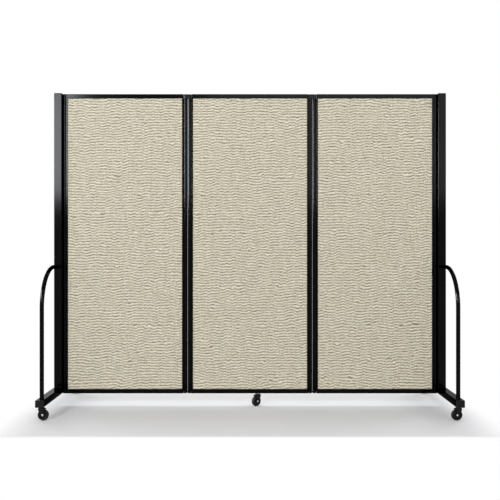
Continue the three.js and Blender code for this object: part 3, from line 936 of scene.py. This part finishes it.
# Hinges
def top_link_form(pivot, height):
    """A moulded block over two barrels, with its top edge well rounded."""
    def ring(inset, z):
        radius = LINK_RADIUS - inset
        right = arc(pivot, 0.0, radius, -QUARTER, QUARTER, LINK_STEPS)
        left = arc(-pivot, 0.0, radius, QUARTER, 3 * QUARTER, LINK_STEPS)
        return [(x, y, z) for x, y in right + left]

    rings = [ring(0.0, 0.0)]
    for angle in quarter_turn(ARC_STEPS):
        inset = LINK_ROUNDING * (1 - math.cos(angle))
        rings.append(ring(inset, height - LINK_ROUNDING * (1 - math.sin(angle))))
    return skinned(rings)


def bottom_link_form(pivot, height):
    """Two round cups under neighbouring barrels, with a web between them."""
    profile = [(STRAP_CENTRE, 0.0)]
    for angle in quarter_turn(ARC_STEPS):
        inset = STRAP_ROUNDING * (1 - math.sin(angle))
        profile.append((LINK_RADIUS - inset, STRAP_ROUNDING * (1 - math.cos(angle))))
    profile.append((LINK_RADIUS, height))
    cups = lathed(profile), lathed(profile)
    for cup, x in zip(cups, (-pivot, pivot)):
        cup.transform(move(x))
    half = STRAP_WEB_DEPTH / 2
    web_low = (-pivot, -half, height - STRAP_WEB_HEIGHT)
    web_high = (pivot, half, height - STRAP_WEB_DROP)
    return combined(combined(*cups), box_form(web_low, web_high))


def make_hinge(name):
    body = f"{name}_link"
    low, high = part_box(f"{name}_top_link")
    x = (low.x + high.x) / 2
    pivot = (high.x - low.x) / 2 - LINK_RADIUS
    hole = circle(0.0, 0.0, ROD_BORE, PIN_BORE_SIDES)
    bore = prism([hole], -ROD_BORE, high.z - low.z - LINK_ROOF)
    form = top_link_form(pivot, high.z - low.z)
    for place in (-pivot, pivot):
        form = combined(form, copy_of(bore, move(place)), "DIFFERENCE")
    form.transform(move(x, 0.0, low.z))
    piece(f"{name}_top_block", form, body, "black_plastic", [f"{name}_top_link"])
    low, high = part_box(f"{name}_bottom_link")
    form = bottom_link_form(pivot, high.z - low.z)
    for place in (-pivot, pivot):
        form = combined(form, copy_of(bore, move(place, 0.0, STRAP_FLOOR + ROD_BORE)), "DIFFERENCE")
    form.transform(move(x, 0.0, low.z))
    piece(f"{name}_bottom_strap", form, body, "black_plastic", [f"{name}_bottom_link"])


# Casters, drawn round the stem with the wheel trailing towards +X
def tyre_form(radius, half):
    """A crowned tyre, turned round the upright axis."""
    crown = (half**2 + TREAD_DROP**2) / (2 * TREAD_DROP)
    sweep = math.asin(half / crown)
    rim = [(TYRE_INNER + TYRE_EDGE, -half), (TYRE_INNER, TYRE_EDGE - half)]
    outer = [(radius - crown + x, z) for x, z in arc(0.0, 0.0, crown, -sweep, sweep, TREAD_STEPS)]
    profile = rim[::-1] + outer + [(r, -z) for r, z in rim]
    return lathed(profile, WHEEL_SIDES, closed=True)


def hub_form(half, boss_half):
    """The wheel's centre: a rim, a dished web and a boss that the axle runs through."""
    web = half - DISH_DEPTH
    side = [
        (HUB_OUTER, half - RIM_STEP),
        (RIM_INNER, half - RIM_STEP),
        (RIM_INNER - DISH_SLOPE, web),
        (BOSS_RADIUS + DISH_SLOPE / 2, web),
        (BOSS_RADIUS, web + DISH_SLOPE / 2),
        (BOSS_RADIUS, boss_half - DISH_SLOPE / 3),
        (BOSS_RADIUS - DISH_SLOPE / 3, boss_half),
        (AXLE_BORE, boss_half),
    ]
    return lathed([(r, -z) for r, z in reversed(side)] + side, WHEEL_SIDES, closed=True)


def axle_form(seat):
    """A riveted pin with a low domed head at each end."""
    edge = seat + AXLE_HEAD_EDGE
    side = [(AXLE_RADIUS, seat), (AXLE_HEAD_RADIUS, seat), (AXLE_HEAD_RADIUS, edge)]
    for angle in quarter_turn(ARC_STEPS)[1:-1]:
        rise = AXLE_HEAD_CROWN * math.sin(angle)
        side.append((AXLE_HEAD_RADIUS * math.cos(angle), edge + rise))
    return lathed([(r, -z) for r, z in reversed(side)] + side, AXLE_SIDES)


def fork_form(trail, axle_z, wheel_radius, leg_inner, top):
    """Two legs under a solid hood, with the cup and the stem above it."""
    leg_outer = leg_inner + LEG_THICKNESS
    hood_top = top - CUP_HEIGHT
    hood_inner = wheel_radius + HOOD_GAP

    def round_wheel(radius, angle):
        return trail + radius * math.cos(angle), axle_z + radius * math.sin(angle)

    def eye_tangent(point, side):
        x, z = point[0] - trail, point[1] - axle_z
        return math.atan2(z, x) + side * math.acos(LEG_EYE_RADIUS / math.hypot(x, z))

    front = round_wheel(hood_inner, HOOD_FRONT_ANGLE)
    rear = round_wheel(hood_inner, LEG_REAR_ANGLE)
    outline = [(HOOD_HALF_LENGTH, hood_top), (-HOOD_HALF_LENGTH, hood_top)]
    outline += [(-HOOD_HALF_LENGTH, hood_top - HOOD_SHOULDER), front]
    eye_start, eye_end = eye_tangent(front, 1), eye_tangent(rear, -1) + TURN
    outline += arc(trail, axle_z, LEG_EYE_RADIUS, eye_start, eye_end, EYE_STEPS)
    outline += arc(trail, axle_z, hood_inner, LEG_REAR_ANGLE, HOOD_REAR_ANGLE, LIP_STEPS)
    outline.append(round_wheel(hood_inner + HOOD_LIP, HOOD_REAR_ANGLE))
    body = softened(prism([outline], -leg_outer, leg_outer))
    slot = prism([circle(trail, axle_z, hood_inner, WHEEL_SIDES)], -leg_inner, leg_inner)
    body = combined(body, slot, "DIFFERENCE")
    hole = circle(trail, axle_z, AXLE_BORE, PIN_BORE_SIDES)
    body = combined(body, prism([hole], -2 * leg_outer, 2 * leg_outer), "DIFFERENCE")
    body.transform(turn(QUARTER, "X"))
    cup_top = top - CUP_CHAMFER
    edge = CUP_CHAMFER / 2
    cup_edge = CUP_RADIUS - edge
    profile = [(CUP_RADIUS - CUP_CHAMFER, hood_top - CUP_CHAMFER)]
    profile += arc(cup_edge, hood_top, edge, -QUARTER / 2, 0.0, CORNER_STEPS)
    profile += arc(cup_edge, cup_top - edge, edge, 0.0, QUARTER, CUP_EDGE_STEPS)
    profile += [(NECK_RADIUS, cup_top), (NECK_RADIUS, top)]
    profile += [(STEM_RADIUS, top), (STEM_RADIUS, top + STEM_LENGTH)]
    return combined(body, lathed(profile))


def make_caster(name):
    socket_low, socket_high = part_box(f"{name}_socket")
    stem_x, stem_y = (socket_low.x + socket_high.x) / 2, (socket_low.y + socket_high.y) / 2
    wheel_low, wheel_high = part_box(f"{name}_wheel")
    wheel_x, wheel_y = (wheel_low.x + wheel_high.x) / 2, (wheel_low.y + wheel_high.y) / 2
    radius = (wheel_high.z - wheel_low.z) / 2
    trail = math.hypot(wheel_x - stem_x, wheel_y - stem_y)
    place = move(stem_x, stem_y) @ turn(math.atan2(wheel_y - stem_y, wheel_x - stem_x), "Z")
    axle = place @ move(trail, 0.0, wheel_low.z + radius) @ turn(QUARTER, "X")
    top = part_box(f"{name}_fork")[1].z - STEM_LENGTH
    leg_inner = HUB_HALF + LEG_GAP
    pin = axle_form(leg_inner + LEG_THICKNESS + SEAT_GAP)
    yoke = fork_form(trail, wheel_low.z + radius, radius, leg_inner, top)
    forms = (
        ("tyre", tyre_form(radius, WHEEL_HALF), axle, "roller", "caster_tread", [f"{name}_wheel"]),
        ("hub", hub_form(WHEEL_HALF, HUB_HALF), axle, "roller", "black_plastic", []),
        ("pin", pin, axle, "swivel", "bright_steel", [f"{name}_axle"]),
        ("yoke", yoke, place, "swivel", "black_plastic", [f"{name}_fork"]),
    )
    for part, form, matrix, body, slot, replaced in forms:
        form.transform(matrix)
        piece(f"{name}_{part}", form, f"{name}_{body}", slot, replaced)


for panel_name in PANELS:
    for rail_place in ("top", "bottom"):
        make_rail(panel_name, rail_place)
for stile in STILES:
    make_stile(*stile)
for panel_name in PANELS:
    make_fabric(panel_name, PANEL_SEEDS[panel_name])
for side_name in SIDES:
    make_post(side_name, f"{side_name}_panel")
    make_base(side_name, f"{side_name}_panel")
    make_hoops(side_name, f"{side_name}_panel")
    make_hinge(f"{side_name}_hinge")
for caster_name in CASTERS:
    make_caster(caster_name)

# The CAD nodes that are kept get their finish
for node_name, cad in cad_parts.items():
    for ending, slot_name in KEPT.items():
        if node_name.endswith(ending):
            cad.data.materials.clear()
            cad.data.materials.append(FINISHES[slot_name])


# Floor, light and camera
FILL_LEVEL = 0.47
WHITE_LEVEL = 1.0
WHITE = (1, 1, 1, 1)
FLOOR_COLOUR = (0.83, 0.838, 0.866, 1)
FLOOR_RADIUS = 40.0
FLOOR_SIDES = 96
# Where the floor starts and ends its fade to white, from the middle of the screen
SIDE_FADE = (0.88, 1.12)
FRONT_FADE = (-0.515, -0.56)
REAR_FADE = (0.20, 0.55)
# Each lamp's place, the point that it faces, its width, its height and its radiance
LAMPS = {
    "key": ((-1.99, -3.5, 1.88), (-1.99, 0.0, 1.88), 0.50, 1.16, 32.0),
    # Far to the side, for the narrow lines along the barrels and the hoops' bends
    "side_strip": ((-4.2, -1.0, 1.88), (0.0, 0.0, 1.88), 1.2, 1.2, 170.0),
    "front_bank": ((2.75, -3.5, 1.92), (2.75, 0.0, 1.92), 6.4, 1.28, 2.9),
    "rear_top": ((0.0, 0.9, 3.6), (0.0, 0.9, 0.0), 2.4, 1.2, 5.0),
    "rear_left": ((-3.6, 2.8, 2.0), (0.0, 0.0, 0.8), 1.8, 1.6, 5.0),
    "rear_right": ((3.6, 2.8, 2.0), (0.0, 0.0, 0.8), 1.8, 1.6, 5.0),
    # Lights the tops of the base tubes at a low slant
    "rear_low": ((-1.85, 2.8, 0.74), (-0.93, -0.15, 0.1), 0.8, 0.6, 1.2),
}
CAMERA_LENS = 47.48
CAMERA_SENSOR = 36.0
CAMERA_DISTANCE = 3.225
CAMERA_HEIGHT = 0.7615


def studio_level(tree):
    """White where it is seen, also in a reflection, and dimmer where it only lights the screen."""
    path = node(tree, "ShaderNodeLightPath").outputs
    seen = combined_values(tree, "MAXIMUM", path["Is Camera Ray"], path["Is Glossy Ray"])
    seen = combined_values(tree, "MAXIMUM", seen, path["Is Transmission Ray"])
    return scaled(tree, seen, FILL_LEVEL, WHITE_LEVEL)


def make_world():
    world = bpy.data.worlds.new("studio")
    world.use_nodes = True
    tree = world.node_tree
    tree.nodes.clear()
    inputs = {"Color": WHITE, "Strength": studio_level(tree)}
    background = node(tree, "ShaderNodeBackground", inputs).outputs["Background"]
    node(tree, "ShaderNodeOutputWorld", {"Surface": background})
    bpy.context.scene.world = world


def fade(tree, value, span):
    """From 0 to 1 as the value goes from the start to the end of the span."""
    inputs = {"Value": value, "From Min": span[0], "From Max": span[1]}
    made = node(tree, "ShaderNodeMapRange", inputs, interpolation_type="SMOOTHSTEP")
    return made.outputs["Result"]


def make_floor():
    """A pale floor that fades into the white surroundings a little way from the screen."""
    made, tree = material("floor")
    axes = node(tree, "ShaderNodeSeparateXYZ", {"Vector": own_coordinates(tree)}).outputs
    sideways = node(tree, "ShaderNodeMath", {0: axes["X"]}, operation="ABSOLUTE").outputs["Value"]
    front, rear = fade(tree, axes["Y"], FRONT_FADE), fade(tree, axes["Y"], REAR_FADE)
    ends = combined_values(tree, "MAXIMUM", front, rear)
    blend = combined_values(tree, "MAXIMUM", fade(tree, sideways, SIDE_FADE), ends)
    inputs = {"Color": WHITE, "Strength": studio_level(tree)}
    far = node(tree, "ShaderNodeEmission", inputs).outputs["Emission"]
    near = node(tree, "ShaderNodeBsdfDiffuse", {"Color": FLOOR_COLOUR}).outputs["BSDF"]
    mixed = node(tree, "ShaderNodeMixShader", {0: blend, 1: near, 2: far}).outputs["Shader"]
    node(tree, "ShaderNodeOutputMaterial", {"Surface": mixed})
    form = bmesh.new()
    outline = circle(0.0, 0.0, FLOOR_RADIUS, FLOOR_SIDES)
    form.faces.new([form.verts.new((x, y, 0.0)) for x, y in outline])
    mesh = mesh_of("floor", form)
    mesh.materials.append(made)
    floor = placed("floor", mesh)


def make_lamp(name, place, target, width, height, radiance):
    """A soft box, set by how bright its face looks."""
    lamp = bpy.data.lights.new(name, "AREA")
    lamp.shape = "RECTANGLE"
    lamp.size, lamp.size_y = width, height
    lamp.energy = radiance * width * height * math.pi
    made = placed(name, lamp)
    made.location = place
    made.rotation_euler = (Vector(target) - Vector(place)).to_track_quat("-Z", "Y").to_euler()
    return made


def spare_shadows(lamp, *names):
    """Lets the named pieces throw no shadow in one lamp's light."""
    spared = bpy.data.collections.new(f"{lamp.name}_spared")
    for name in names:
        spared.objects.link(bpy.data.objects[name])
    for item in spared.collection_objects:
        item.light_linking.link_state = "EXCLUDE"
    lamp.light_linking.blocker_collection = spared


def make_camera():
    """Level, and square to the middle of the screen, as the photograph was taken."""
    camera = bpy.data.cameras.new("camera")
    camera.sensor_fit = "HORIZONTAL"
    camera.sensor_width = CAMERA_SENSOR
    camera.lens = CAMERA_LENS
    made = placed("camera", camera)
    made.location = (0.0, -CAMERA_DISTANCE, CAMERA_HEIGHT)
    made.rotation_euler = (QUARTER, 0.0, 0.0)
    bpy.context.scene.camera = made


make_world()
make_floor()
lamps = {name: make_lamp(name, *settings) for name, settings in LAMPS.items()}
# It lights no cloth, and shows in glossy reflections only
lamps["side_strip"].visible_diffuse = False
# It would stand in the picture, so the camera doesn't see it
lamps["rear_low"].visible_camera = False
spare_shadows(lamps["key"], "left_front_hoop_bar", "right_front_hoop_bar")
make_camera()
bpy.context.scene.view_settings.view_transform = "Standard"
